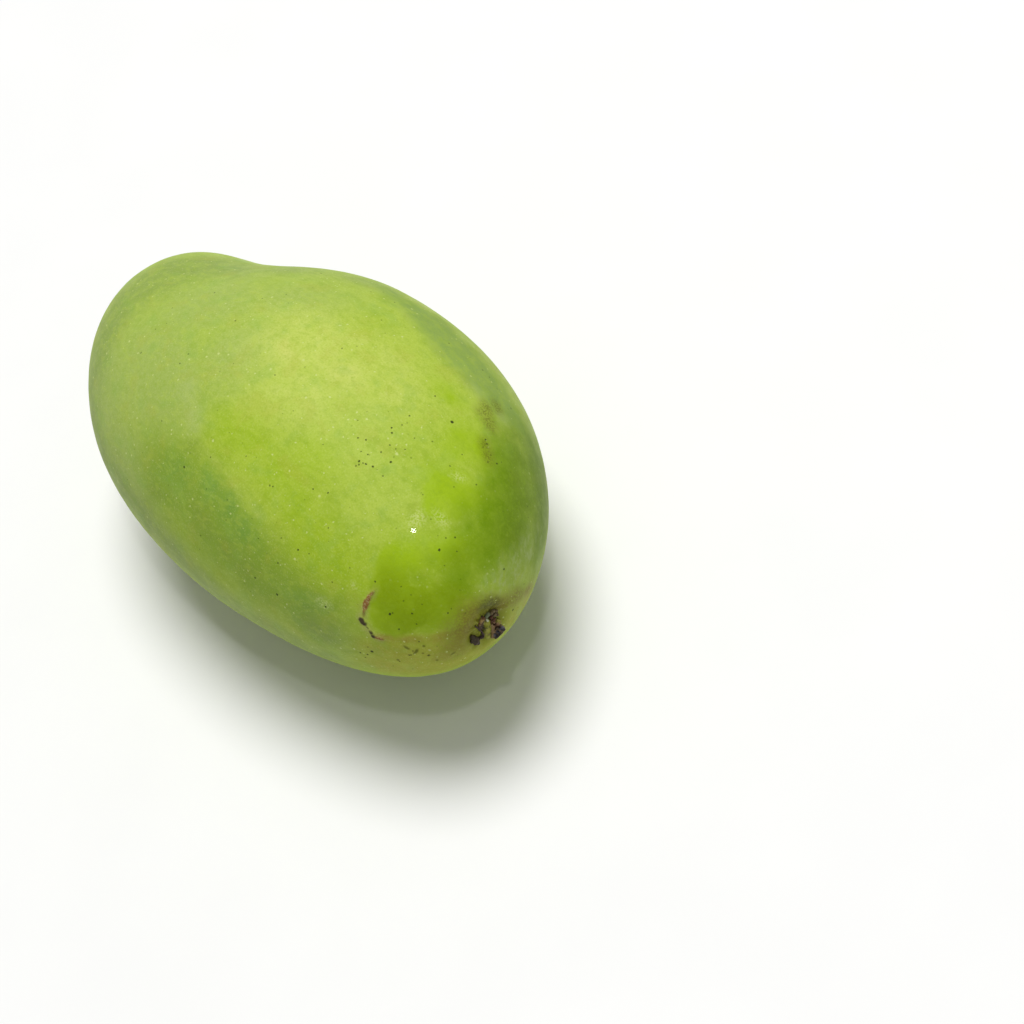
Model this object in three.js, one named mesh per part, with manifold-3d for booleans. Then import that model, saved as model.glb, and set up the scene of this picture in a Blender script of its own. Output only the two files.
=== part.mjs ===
// A whole unripe mango, lying on one cheek, with the broken stub of its stalk.
//
// Millimetres, +Z up. +X points out of the stem end and -X out of the apex. +Y is the belly,
// which has a slight hollow (the sinus) near the apex, and -Y is the fuller back. The fruit
// rests on a small flat spot at Z = 0, and the origin is under the middle of its bounding box.

import * as THREE from 'three';
import { mergeVertices } from 'three/addons/utils/BufferGeometryUtils.js';
import Module from 'manifold-3d';

const wasm = await Module();
wasm.setup();

// ---------------------------------------------------------------- driving dimensions

const LENGTH = 132;              // stem end to apex
const WIDTH = 80;                // belly to back
const THICKNESS = 70;            // cheek to cheek
const FLAT_SPOT_DEPTH = 0.6;     // how much of the lower cheek the flat spot takes off

// The centre line leaves the X axis as a polynomial of c, which runs from -1 at the apex to
// 1 at the stem end: the stem end droops to the back, and both ends curve up a little.
const SIDE_BEND = [0, 2, -4, -6];
const UP_BEND = [0, 0, 3.5];

// Seen from the side, the cheeks are a little fuller towards both ends than an ellipse.
const CHEEK_FULLNESS = [1, 0, 0.03];

// The sinus pulls the belly in by a share of its radius, and fades out across the cheeks.
const SINUS_X = -40;
const SINUS_REACH = 17;
const SINUS_DEPTH = 0.165;

// The hollow round the stalk has a flat floor and a soft rim.
const HOLLOW_FLOOR_RADIUS = 3;
const HOLLOW_RIM_RADIUS = 7;
const HOLLOW_DEPTH = 1.6;

// The stub leaves the fruit square, leans to the back, and is broken off aslant.
const STUB_GAP = 0.3;            // between the foot of the stub and the floor of the hollow
const STUB_LENGTH = 4.6;
const STUB_BASE_RADIUS = 1.3;
const STUB_TIP_RADIUS = 0.85;
const STUB_LEAN = THREE.MathUtils.degToRad(40);
const STUB_SLANT = 0.35;         // the slope of the broken end
const COLLAR_RADIUS = 2.1;
const COLLAR_HEIGHT = 0.8;

// Dried lobes of the stalk's foot: `angle` in degrees from the belly towards the upper cheek,
// `reach` from the middle of the stub to the tip, and `width`.
const LOBES = [
  { angle: 175, reach: 4.2, width: 2.6 },
  { angle: 110, reach: 3.7, width: 1.8 },
  { angle: 62, reach: 3.0, width: 1.6 },
  { angle: -15, reach: 3.1, width: 2.2 },
  { angle: -65, reach: 4.0, width: 3.0 },
];
const LOBE_THICKNESS = 0.9;
const LOBE_RISE = THREE.MathUtils.degToRad(12);

// Fineness of the meshes
const FRUIT_SEGMENTS = 68;       // around the fruit
const FRUIT_RINGS = 44;          // from end to end
const RING_CROWDING = 0.34;      // how much the rings crowd at both ends, 0 for even rings

// ---------------------------------------------------------------- helpers

const { clamp, degToRad, lerp, smoothstep } = THREE.MathUtils;

const polynomial = (terms, c) => terms.reduceRight((sum, term) => sum * c + term, 0);

function material(colour, roughness) {
  return new THREE.MeshStandardMaterial({ color: colour, roughness, metalness: 0 });
}

function toSolid(geometry) {
  const bare = geometry.clone();
  bare.deleteAttribute('normal');
  bare.deleteAttribute('uv');
  const closed = mergeVertices(bare, 1e-5);
  return new wasm.Manifold(new wasm.Mesh({
    numProp: 3,
    vertProperties: new Float32Array(closed.attributes.position.array),
    triVerts: new Uint32Array(closed.index.array),
  }));
}

function toGeometry(solid) {
  const mesh = solid.getMesh();
  const geometry = new THREE.BufferGeometry();
  geometry.setAttribute('position', new THREE.BufferAttribute(mesh.vertProperties, 3));
  geometry.setIndex(new THREE.BufferAttribute(mesh.triVerts, 1));
  geometry.computeVertexNormals();
  return geometry;
}

// Moves every vertex of a geometry: `place` takes a point and changes it
function reshape(geometry, place) {
  const positions = geometry.attributes.position;
  const point = new THREE.Vector3();
  for (let i = 0; i < positions.count; i += 1) {
    place(point.fromBufferAttribute(positions, i));
    positions.setXYZ(i, point.x, point.y, point.z);
  }
  return geometry;
}

// ---------------------------------------------------------------- fruit

// Puts a point on the skin. `along` is 0 at the stem end and PI at the apex; `around` is 0 at
// the belly and PI / 2 at the upper cheek.
function placeOnSkin(point, along, around) {
  const c = Math.cos(along);
  const s = Math.sin(along);
  const x = LENGTH / 2 * c;

  const alongSinus = Math.exp(-(((x - SINUS_X) / SINUS_REACH) ** 2));
  const acrossSinus = (1 + Math.cos(around)) / 2;
  const pull = 1 - SINUS_DEPTH * alongSinus * acrossSinus;
  const halfWidth = WIDTH / 2 * s * pull;
  const halfThickness = THICKNESS / 2 * s * pull * polynomial(CHEEK_FULLNESS, c);

  return point.set(
    x,
    polynomial(SIDE_BEND, c) + halfWidth * Math.cos(around),
    polynomial(UP_BEND, c) + halfThickness * Math.sin(around) + THICKNESS / 2 - FLAT_SPOT_DEPTH,
  );
}

// The middle of the stem end, before the hollow is pressed in
const STEM_POINT = placeOnSkin(new THREE.Vector3(), 0, 0);

function pressHollow(point) {
  const radius = Math.hypot(point.y - STEM_POINT.y, point.z - STEM_POINT.z);
  const rise = smoothstep(radius, HOLLOW_FLOOR_RADIUS, HOLLOW_RIM_RADIUS);
  point.x = lerp(STEM_POINT.x - HOLLOW_DEPTH, point.x, rise);
}

function fruitGeometry() {
  const sphere = new THREE.SphereGeometry(1, FRUIT_SEGMENTS, FRUIT_RINGS);
  sphere.rotateZ(-Math.PI / 2);
  const skin = reshape(sphere, (point) => {
    const even = Math.acos(clamp(point.x, -1, 1));
    const along = even - RING_CROWDING * Math.sin(2 * even);
    placeOnSkin(point, along, Math.atan2(point.z, point.y));
    if (point.x > 0) {
      pressHollow(point);
    }
  });

  // What lies below Z = 0 is cut off, and leaves the flat spot
  const ground = new THREE.BoxGeometry(LENGTH, WIDTH, THICKNESS);
  ground.translate(0, 0, -THICKNESS / 2);
  return toGeometry(toSolid(skin).subtract(toSolid(ground)));
}

// ---------------------------------------------------------------- stem stub

// Its parts are modelled with the foot at the origin and the axis along +X.
function standOnX(geometry, height) {
  geometry.translate(0, height / 2, 0);
  return geometry.rotateZ(-Math.PI / 2);
}

function stumpGeometry() {
  const straight = new THREE.CylinderGeometry(STUB_TIP_RADIUS, STUB_BASE_RADIUS, STUB_LENGTH, 12, 4);
  return reshape(standOnX(straight, STUB_LENGTH), (point) => {
    const share = point.x / STUB_LENGTH;
    const bend = point.x * share;
    point.x += STUB_SLANT * point.z * share - bend * (1 - Math.cos(STUB_LEAN));
    point.y -= bend * Math.sin(STUB_LEAN);
  });
}

function collarGeometry() {
  const top = 0.8 * COLLAR_RADIUS;
  return standOnX(new THREE.CylinderGeometry(top, COLLAR_RADIUS, COLLAR_HEIGHT, 20), COLLAR_HEIGHT);
}

// A flat oval lobe, rooted in the stub just above the collar and tipped away from the fruit
function lobeGeometry({ angle, reach, width }) {
  const lobe = new THREE.SphereGeometry(0.5, 12, 8);
  lobe.scale(LOBE_THICKNESS, reach, width);
  lobe.translate(0, reach / 2, 0);
  lobe.rotateZ(-LOBE_RISE);
  lobe.rotateX(degToRad(angle));
  return lobe.translate(COLLAR_HEIGHT, 0, 0);
}

function stubGeometry() {
  const parts = [stumpGeometry(), collarGeometry(), ...LOBES.map(lobeGeometry)];
  return toGeometry(wasm.Manifold.union(parts.map(toSolid)));
}

// ---------------------------------------------------------------- assembly

const fruit = new THREE.Mesh(fruitGeometry(), material(0x7d9c33, 0.45));
fruit.name = 'fruit';

const stub = new THREE.Mesh(stubGeometry(), material(0x4a3a22, 0.85));
stub.name = 'stem_stub';
stub.position.copy(STEM_POINT);
stub.position.x += STUB_GAP - HOLLOW_DEPTH;

const mango = new THREE.Group();
mango.add(fruit, stub);

// The origin goes under the middle of the whole
const middle = new THREE.Box3().setFromObject(mango).getCenter(new THREE.Vector3());
mango.position.set(-middle.x, -middle.y, 0);

export default mango;
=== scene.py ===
"""A whole unripe mango lying on a pale floor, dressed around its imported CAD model.

Metres, +Z up, in the CAD's frame: +X out of the stem end, +Y to the belly with the sinus,
-Y to the back, and Z = 0 where the fruit rests. Places on the skin that the camera sees are
named by their pixel in an image of 1024 by 1024; the rest are named by two angles. Marks
and textures are measured in millimetres.
"""

import math
import random

import bmesh
import bpy
import numpy as np
from mathutils import Matrix, Vector, noise
from mathutils.bvhtree import BVHTree


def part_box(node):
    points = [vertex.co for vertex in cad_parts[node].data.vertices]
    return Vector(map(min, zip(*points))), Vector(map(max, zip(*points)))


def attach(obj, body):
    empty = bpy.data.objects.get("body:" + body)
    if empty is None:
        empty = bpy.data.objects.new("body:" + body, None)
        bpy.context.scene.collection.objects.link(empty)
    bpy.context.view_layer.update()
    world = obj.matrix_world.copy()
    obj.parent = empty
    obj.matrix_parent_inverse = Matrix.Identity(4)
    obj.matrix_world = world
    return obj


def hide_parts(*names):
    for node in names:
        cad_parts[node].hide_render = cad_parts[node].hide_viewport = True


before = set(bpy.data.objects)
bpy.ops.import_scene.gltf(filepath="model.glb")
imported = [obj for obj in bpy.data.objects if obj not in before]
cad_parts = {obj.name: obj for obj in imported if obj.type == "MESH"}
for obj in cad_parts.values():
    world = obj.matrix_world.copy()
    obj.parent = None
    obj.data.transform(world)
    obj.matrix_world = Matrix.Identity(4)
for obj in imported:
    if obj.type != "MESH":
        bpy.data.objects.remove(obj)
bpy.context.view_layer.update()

SEED = 7
random.seed(SEED)

MM = 0.001

# ------------------------------------------------------------------ shape of the fruit

LENGTH = 132 * MM
WIDTH = 80 * MM
THICKNESS = 70 * MM
SIDE_BEND = (0.0, 2 * MM, -4 * MM, -6 * MM)    # by powers of c, which is 1 at the stem end
UP_BEND = (0.0, 0.0, 3.5 * MM)
CHEEK_FULLNESS = (1.0, 0.0, 0.03)
SINUS_X = -40 * MM
SINUS_REACH = 17 * MM
SINUS_DEPTH = 0.165
HOLLOW_FLOOR_RADIUS = 3 * MM
HOLLOW_RIM_RADIUS = 7 * MM
HOLLOW_DEPTH = 1.6 * MM
STEM = (LENGTH / 2, sum(SIDE_BEND), sum(UP_BEND))    # from the middle of the bare fruit

# ------------------------------------------------------------------ camera

IMAGE_SIZE = 1024
SENSOR = 36.0
LENS = 77.34
CAMERA_DISTANCE = 0.484
STEM_TIPPED = math.radians(32.9)     # how far the stem end points towards the camera
ROLLED_BACK = math.radians(-19.9)    # how far the back is turned towards the camera
IMAGE_TURN = math.radians(-37.8)     # how far the stem end points down to the right
FRUIT_PIXEL = (321.36, 449.52)       # where the middle of the fruit is seen
CLIP_START = 0.01
LEAST_FACING = 0.3                   # a lift towards the camera is limited near the outline


def polynomial(terms, c):
    return sum(term * c ** power for power, term in enumerate(terms))


def smoothstep(value, low, high):
    t = np.clip((value - low) / (high - low), 0.0, 1.0)
    return t * t * (3 - 2 * t)


def skin_points(along, around):
    """Points of the bare fruit, its middle at the origin. along: 0 at the stem end, pi at
    the apex. around: 0 at the belly, pi / 2 at the upper cheek."""
    c = np.cos(along)
    s = np.sin(along)
    x = LENGTH / 2 * c
    along_sinus = np.exp(-(((x - SINUS_X) / SINUS_REACH) ** 2))
    across_sinus = (1 + np.cos(around)) / 2
    pull = 1 - SINUS_DEPTH * along_sinus * across_sinus
    half_thickness = THICKNESS / 2 * polynomial(CHEEK_FULLNESS, c)
    y = polynomial(SIDE_BEND, c) + WIDTH / 2 * s * pull * np.cos(around)
    z = polynomial(UP_BEND, c) + half_thickness * s * pull * np.sin(around)

    # The hollow round the stalk
    radius = np.hypot(y - STEM[1], z - STEM[2])
    rise = smoothstep(radius, HOLLOW_FLOOR_RADIUS, HOLLOW_RIM_RADIUS)
    floor = STEM[0] - HOLLOW_DEPTH
    x = np.where(x > 0, floor + (x - floor) * rise, x)
    return np.stack([x, y, z], axis=-1)


def skin_grid(along, around):
    """The points and faces of the skin, in the CAD's place, and the middle of the fruit."""
    rings = skin_points(along[:, None], around[None, :]).reshape(-1, 3)
    ends = skin_points(np.array([0.0, math.pi]), np.zeros(2))
    points = np.concatenate([rings, ends])

    segments = len(around)
    faces = []
    for ring in range(len(along) - 1):
        near = ring * segments
        far = near + segments
        for i in range(segments):
            j = (i + 1) % segments
            faces.append((near + i, far + i, far + j, near + j))
    stem_end = len(rings)
    apex = stem_end + 1
    last = stem_end - segments
    for i in range(segments):
        j = (i + 1) % segments
        faces.append((stem_end, i, j))
        faces.append((apex, last + j, last + i))

    low, high = (np.array(corner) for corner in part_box("fruit"))
    middle = (low + high) / 2 - (points.min(axis=0) + points.max(axis=0)) / 2
    middle[2] = high[2] - points[:, 2].max()
    points += middle
    points[:, 2] = np.maximum(points[:, 2], 0.0)
    return points, faces, Vector(middle)


ROUGH_RINGS = 120
ROUGH_SEGMENTS = 160
rough_points, rough_faces, fruit_middle = skin_grid(
    np.linspace(0, math.pi, ROUGH_RINGS + 1)[1:-1],
    np.linspace(0, 2 * math.pi, ROUGH_SEGMENTS, endpoint=False),
)
skin_tree = BVHTree.FromPolygons([Vector(p) for p in rough_points], rough_faces)
stem_foot = fruit_middle + Vector(STEM) - Vector((HOLLOW_DEPTH, 0, 0))


# ------------------------------------------------------------------ camera and pixels

def add_camera():
    camera = bpy.data.objects.new("camera", bpy.data.cameras.new("camera"))
    bpy.context.scene.collection.objects.link(camera)
    camera.data.sensor_width = SENSOR
    camera.data.lens = LENS
    camera.data.clip_start = CLIP_START
    to_view = (
        Matrix.Rotation(IMAGE_TURN, 3, "Z")
        @ Matrix.Rotation(-STEM_TIPPED, 3, "Y")
        @ Matrix.Rotation(ROLLED_BACK, 3, "X")
    )
    metres_per_pixel = CAMERA_DISTANCE * SENSOR / LENS / IMAGE_SIZE
    beside = (FRUIT_PIXEL[0] - IMAGE_SIZE / 2) * metres_per_pixel
    above = (IMAGE_SIZE / 2 - FRUIT_PIXEL[1]) * metres_per_pixel
    from_fruit = to_view.transposed() @ Vector((-beside, -above, CAMERA_DISTANCE))
    camera.matrix_world = (
        Matrix.Translation(fruit_middle + from_fruit) @ to_view.transposed().to_4x4()
    )
    bpy.context.scene.camera = camera
    return camera


camera = add_camera()
camera_place = camera.matrix_world.translation.copy()


def skin_at(x, y):
    """The place on the skin that the camera sees at a pixel, and the skin's normal."""
    ray = Vector((x / IMAGE_SIZE - 0.5, 0.5 - y / IMAGE_SIZE, -LENS / SENSOR))
    place, normal, _, _ = skin_tree.ray_cast(
        camera_place, (camera.matrix_world.to_3x3() @ ray).normalized()
    )
    if place is None:
        raise ValueError(f"the fruit isn't seen at pixel {x}, {y}")
    return place, normal


def over_skin(x, y, lift):
    """The place above a pixel's skin that the camera sees at the same pixel."""
    place, normal = skin_at(x, y)
    to_camera = (camera_place - place).normalized()
    return place + to_camera * (lift / max(normal.dot(to_camera), LEAST_FACING))


def skin_by_angles(along, around):
    """A place on the skin by its two angles in degrees, as in skin_points."""
    place = skin_points(math.radians(along), math.radians(around))
    return fruit_middle + Vector(place)


# ------------------------------------------------------------------ shader helper

FEW_LARGE = 2.5          # the larger, the fewer of the scattered dots are large


class Shader:
    """Builds one material out of nodes. A socket or a plain value goes into any input.
    Places and scales are in millimetres."""

    def __init__(self, name):
        self.material = bpy.data.materials.new(name)
        self.material.use_nodes = True
        self.tree = self.material.node_tree
        self.surface = self.tree.nodes["Principled BSDF"]
        texture = self.tree.nodes.new("ShaderNodeTexCoord")
        self.place = self.vector("SCALE", texture.outputs["Object"], scale=1 / MM)

    def put(self, value, socket):
        if isinstance(value, bpy.types.NodeSocket):
            self.tree.links.new(value, socket)
        elif value is not None:
            socket.default_value = value

    def math(self, operation, *values):
        node = self.tree.nodes.new("ShaderNodeMath")
        node.operation = operation
        for value, socket in zip(values, node.inputs):
            self.put(value, socket)
        return node.outputs["Value"]

    def vector(self, operation, *values, scale=None):
        node = self.tree.nodes.new("ShaderNodeVectorMath")
        node.operation = operation
        for value, socket in zip(values, node.inputs):
            self.put(value, socket)
        if scale is not None:
            self.put(scale, node.inputs["Scale"])
        return node.outputs["Value" if operation == "DISTANCE" else "Vector"]

    def ramp(self, value, low, high, to_low=0.0, to_high=1.0):
        """A smooth step from to_low to to_high as value goes from low to high."""
        node = self.tree.nodes.new("ShaderNodeMapRange")
        node.interpolation_type = "SMOOTHSTEP"
        self.put(value, node.inputs["Value"])
        for number, name in ((low, "From Min"), (high, "From Max"),
                             (to_low, "To Min"), (to_high, "To Max")):
            self.put(number, node.inputs[name])
        return node.outputs["Result"]

    def texture(self, kind, at, mapping, move, turn, scale):
        """A texture node, laid on the place by its own mapping."""
        node = self.tree.nodes.new(kind)
        self.put(self.place if at is None else at, node.inputs["Vector"])
        node.texture_mapping.vector_type = mapping
        node.texture_mapping.translation = move
        node.texture_mapping.rotation = turn
        node.texture_mapping.scale = scale
        return node

    def noise(self, size, detail=3.0, stretch=(1, 1, 1), shift=0.0, at=None):
        """Noise of 0 to 1, about 0.5, whose blotches are about size wide."""
        node = self.texture("ShaderNodeTexNoise", at, "POINT", (shift,) * 3, (0, 0, 0),
                            [1 / (size * s) for s in stretch])
        node.inputs["Scale"].default_value = 1.0
        node.inputs["Detail"].default_value = detail
        return node.outputs

    def cells(self, size, shift, at):
        """Distance to the middle of the nearest of many scattered dots, as a share of the
        space between them, and three random numbers that each dot has of its own."""
        node = self.texture("ShaderNodeTexVoronoi", at, "POINT", (shift,) * 3, (0, 0, 0),
                            (1 / size,) * 3)
        node.inputs["Scale"].default_value = 1.0
        return node.outputs["Distance"], self.split(node.outputs["Color"])

    def dots(self, size, share, blur, likely, at, shift):
        """Scattered dots with size between them. The largest dots have share of size for
        their radius, most are far smaller, and there are none where likely is 0."""
        distance, own = self.cells(size, shift, at)
        radius = self.math("MULTIPLY", self.math("POWER", own["Red"], FEW_LARGE), share)
        inside = self.ramp(self.math("SUBTRACT", radius, distance), -blur, blur)
        return self.math("MULTIPLY", inside, self.math("LESS_THAN", own["Green"], likely))

    def daub(self, at, start, end, radius):
        """How deep the place lies in a long daub from start to end, in mm, or 0 outside."""
        start, end = Vector(start), Vector(end)
        half_length = (end - start).length / 2 + radius
        turn = (end - start).to_track_quat("X", "Z").to_euler()
        node = self.texture("ShaderNodeTexGradient", at, "TEXTURE", (start + end) / 2, turn,
                            (half_length, radius, radius))
        node.gradient_type = "SPHERICAL"
        return self.math("MULTIPLY", node.outputs["Fac"], radius)

    def stroke(self, at, strokes, softness):
        """1 inside the strokes and 0 outside, with an edge as wide as softness. Each stroke
        is a row of (place, half width)."""
        deepest = self.highest(
            self.daub(at, start, end, (start_radius + end_radius + softness) / 2)
            for stroke in strokes
            for (start, start_radius), (end, end_radius) in zip(stroke, stroke[1:] or stroke)
        )
        return self.ramp(deepest, 0.0, softness)

    def split(self, colour):
        node = self.tree.nodes.new("ShaderNodeSeparateColor")
        self.put(colour, node.inputs["Color"])
        return node.outputs

    def wobble(self, size, amount):
        """The place, pushed about by noise, so that what is drawn there has rough edges."""
        push = self.vector("SUBTRACT", self.noise(size)["Color"], (0.5,) * 3)
        return self.vector("ADD", self.place, self.vector("SCALE", push, scale=amount * 2))

    def mix(self, factor, first, second):
        node = self.tree.nodes.new("ShaderNodeMix")
        node.data_type = "RGBA"
        for value, name in ((factor, "Factor_Float"), (first, "A_Color"),
                            (second, "B_Color")):
            socket = next(s for s in node.inputs if s.identifier == name)
            if isinstance(value, tuple):
                value = (*value, 1.0)
            self.put(value, socket)
        return next(s for s in node.outputs if s.identifier == "Result_Color")

    def paint(self, colour, tint, mask, strength, breakup=None):
        """The colour with a tint over it where the mask is, thinned by what breaks it up."""
        if breakup is not None:
            mask = self.math("MULTIPLY", mask, breakup)
        return self.mix(self.math("MULTIPLY", mask, strength), colour, tint)

    def highest(self, values):
        """The values are taken one by one, so that the shader never holds many at once."""
        top = None
        for value in values:
            top = value if top is None else self.math("MAXIMUM", top, value)
        return top

    def bump(self, height, normal=None):
        """Height in millimetres."""
        node = self.tree.nodes.new("ShaderNodeBump")
        node.inputs["Distance"].default_value = MM
        self.put(height, node.inputs["Height"])
        self.put(normal, node.inputs["Normal"])
        return node.outputs["Normal"]


def in_mm(place):
    return tuple(value / MM for value in place)


def seen(*steps):
    """A stroke through pixels, each with its half width in millimetres."""
    return [(in_mm(skin_at(x, y)[0]), radius) for x, y, radius in steps]


def unseen(*steps):
    """A stroke through places given by two angles, each with its half width in mm."""
    return [(in_mm(skin_by_angles(along, around)), radius) for along, around, radius in steps]


# ------------------------------------------------------------------ marks on the skin

APEX_SAGE = [
    seen((135, 345, 15), (175, 400, 12)),
    seen((108, 360, 12), (112, 425, 11), (138, 478, 8)),
    seen((165, 310, 13), (250, 300, 9), (330, 300, 6)),
    seen((250, 335, 8), (215, 370, 9)),
]
# The pale upper cheek: partly a pale yellowish bloom of its own, partly a painted highlight
# where the light from above falls
PALE_CHEEK_AND_HIGHLIGHT = [
    seen((285, 335, 8), (335, 350, 11), (380, 375, 8), (388, 395, 5)),
    seen((265, 380, 6), (340, 400, 7)),
]
PALE_HEART_AND_HIGHLIGHT = [seen((287, 340, 1.5), (292, 368, 2)), seen((333, 366, 2.5), (350, 372, 1.5))]

# Along the outline that the camera sees, the skin is a duller green all round: partly the
# skin's own sage green, partly painted shade along the edge
RIM_SAGE_AND_SHADE = [
    seen((92, 400, 5), (97, 436, 5), (110, 466, 5.4), (132, 500, 6.4), (161, 536, 6.4)),
    seen((161, 536, 6.4), (192, 570, 6.0), (224, 600, 5.6), (256, 620, 5.6)),
    seen((256, 620, 5.6), (285, 637, 5.6), (314, 651, 5.0), (342, 660, 4.2)),
    seen((93, 385, 6), (103, 336, 7.5), (122, 303, 9), (150, 280, 9.5), (185, 268, 9)),
    seen((185, 268, 9), (215, 265, 7), (250, 270, 4.4), (330, 274, 3.0), (390, 290, 2.4)),
    seen((310, 630, 4), (345, 643, 4)),
]

# Where the waxy bloom is rubbed off, the skin shows vivid
CLEAN_RUBS = [
    seen((439, 484, 3.4), (439, 506, 3.2), (462, 500, 4)),
    seen((392, 560, 3.0), (391, 588, 4.2), (389, 606, 4.9), (393, 617, 4.6)),
    seen((395, 610, 4.4), (414, 607, 5.0)),
    seen((381, 621, 2.8), (408, 624, 2.6)),
]
DEEP_RUBS = [
    seen((493, 466, 1.8), (494, 495, 4.4), (489, 535, 5.0), (480, 560, 4.4)),
    seen((504, 450, 3.2), (507, 474, 5.6), (506, 505, 6.4), (500, 535, 5.6)),
    seen((468, 508, 2.2), (471, 540, 2.8)),
    seen((466, 562, 3.4), (452, 587, 3.4)),
    seen((456, 563, 2.6)),
    seen((412, 573, 0.3), (426, 582, 0.4)),
    seen((428, 562, 0.2), (436, 560, 0.2)),
]
PATCH_RUB = [seen((390, 588, 4), (394, 612, 6), (440, 612, 6), (462, 585, 5), (466, 565, 3))]
SOFT_RUBS = [
    seen((432, 480, 3), (460, 485, 4), (478, 500, 4)),
    seen((400, 562, 3), (430, 556, 3.4), (462, 545, 4)),
    seen((455, 455, 4), (470, 430, 3), (484, 470, 3)),
    seen((438, 385, 2.0), (460, 405, 2.4)),
    seen((414, 606, 5.2), (436, 606, 4.6), (452, 600, 3.6)),
]
FAINT_RUBS = [
    seen((212, 425, 4), (240, 432, 4), (268, 470, 5), (285, 485, 5)),
    seen((285, 495, 4), (305, 530, 6), (330, 560, 6), (352, 572, 5)),
    seen((325, 590, 4), (352, 585, 3)),
    seen((392, 545, 4), (420, 540, 3)),
    seen((305, 455, 4), (320, 462, 3)),
]
# The lower flank, a darker green: partly the skin's own deeper green, partly painted shade
DARK_FLANK_AND_SHADE = [
    seen((155, 468, 8), (190, 497, 8.5), (232, 545, 9), (282, 592, 8), (315, 612, 6)),
    seen((315, 605, 4), (345, 612, 4)),
]
TEAL_SKIN = [
    seen((206, 472, 2.2), (222, 496, 3.0), (236, 516, 3.6), (250, 534, 2.8)),
    seen((170, 465, 2.4), (185, 480, 2.4)),
    seen((300, 598, 2.2), (318, 608, 2.0)),
]
SHADED_OLIVE = [
    seen((198, 500, 2.4), (206, 530, 3)),
    seen((235, 562, 2), (252, 574, 2)),
    seen((188, 448, 1.6), (200, 452, 1.6)),
    seen((152, 488, 1.6), (160, 496, 1.6)),
    seen((222, 546, 1.6), (228, 552, 1.6)),
    seen((300, 622, 2), (322, 630, 2)),
]
PALE_LINE = [seen((201, 444, 0.5), (224, 472, 0.35), (246, 499, 0.4), (268, 525, 0.3))]
BLOOM_RIM = [
    seen((385, 288, 2), (402, 301, 3.4), (425, 316, 5), (450, 340, 7.0), (474, 366, 7.5)),
    seen((474, 366, 7.5), (496, 394, 5.2), (510, 412, 3.0)),
]
BLOOM_SPOTS = [
    seen((186, 380, 1.6), (191, 405, 2.0), (196, 430, 1.8)),
    seen((476, 386, 1.2), (480, 397, 1.4)),
    seen((502, 418, 1.3)),
    seen((318, 602, 1.0), (328, 608, 1.0)),
]
BLOOM_AT_STEM = [
    seen((532, 543, 2.6), (523, 561, 3.8), (507, 578, 3.4), (490, 588, 1.8)),
    seen((540, 524, 1.0), (540, 540, 1.2)),
]
# The right flank, a deep green: partly the skin's own deep green where the bloom is gone,
# partly painted shade along that edge
RIM_DEEP_AND_SHADE = [
    seen((511, 428, 2.2), (517, 446, 4.2), (525, 475, 5.8), (524, 515, 6.6), (516, 544, 5)),
    seen((520, 428, 3.0), (528, 442, 5.6), (534, 458, 7.4), (541, 480, 9.0)),
    seen((541, 480, 9.0), (543, 515, 9.0), (539, 542, 5.6)),
]
DULL_BASE = [
    seen((372, 664, 4), (410, 669, 4.6), (446, 665, 4.6), (472, 655, 4.0), (494, 640, 3.4)),
    seen((505, 628, 3.4), (520, 608, 3.4), (530, 590, 3.0)),
    seen((372, 651, 2.6), (392, 654, 4.4), (422, 656, 5.0), (456, 650, 5.0), (478, 638, 4)),
]
DULL_BASE_DARK = [seen((447, 655, 2.4), (461, 646, 3.2), (472, 632, 2.4))]
BASE_LINE = [seen((374, 637, 0.6), (396, 639, 1.2), (425, 639, 0.8), (462, 631, 1.0))]
STEM_SMEAR = [seen((495, 606, 2.2), (510, 600, 2.2), (522, 594, 1.8), (531, 587, 1.2))]
STEM_SHADE = [seen((470, 610, 2.0), (462, 622, 3), (458, 636, 2.8))]
# Painted shade on the hollow's wall just above the stalk
STEM_RING = [seen((484, 607, 1.6), (490, 604, 1.8), (494, 605, 1.2))]
# A brown ring on the upper and left side of the hollow: partly brown stain, partly painted
# shade
STEM_STAIN_AND_SHADE = [seen((494, 606, 2.2), (483, 606, 3.0), (474, 618, 2.2), (468, 630, 1.6))]
# A near-black spot of painted shade in the pit beside the stalk
STEM_PIT_SHADE = [seen((487.2, 611.2, 0.30), (490.0, 610.2, 0.36))]
BROWN_BLOTCH = [
    seen((486, 405, 1.5), (487, 417, 2.2), (491, 427, 1.5)),
    seen((478, 408, 0.8), (482, 416, 0.8)),
    seen((496, 403, 1.4), (498, 412, 1.4)),
    seen((484, 440, 1.1), (485, 449, 1.5), (490, 462, 1.1)),
    seen((484, 444, 0.4), (486, 450, 0.5)),
]
BASE_FLECKS = [
    seen((404, 646, 0.3), (409, 649, 0.42)),
    seen((418, 649, 0.42), (414, 654, 0.3)),
    seen((424, 646, 0.34)),
    seen((416, 651, 0.24)),
    seen((411, 655, 0.22)),
    seen((423, 653, 0.24)),
    seen((429, 655, 0.3)),
    seen((398, 660, 0.32)),
    seen((437, 660, 0.3)),
    seen((455, 652, 0.3), (451, 655, 0.24)),
]
# Pale scuffs; the first two, beside the small lamp's glint, are partly painted sheen
PALE_SCUFFS_AND_SHEEN = [
    seen((413, 523, 1.6), (420, 515, 1)),
    seen((436, 512, 0.9), (445, 524, 1.0)),
    seen((328, 606, 0.9), (318, 600, 0.7)),
    seen((352, 584, 0.4), (356, 588, 0.3)),
    seen((455, 475, 0.8), (462, 478, 0.8)),
]

# Small smooth spots in the skin, which mirror the small lamp
WET_SPOTS = [
    seen((412.4, 531.6, 0.50), (414.8, 530.6, 0.60)),
    seen((410.2, 529.6, 0.34), (416.2, 528.8, 0.34)),
]

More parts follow.
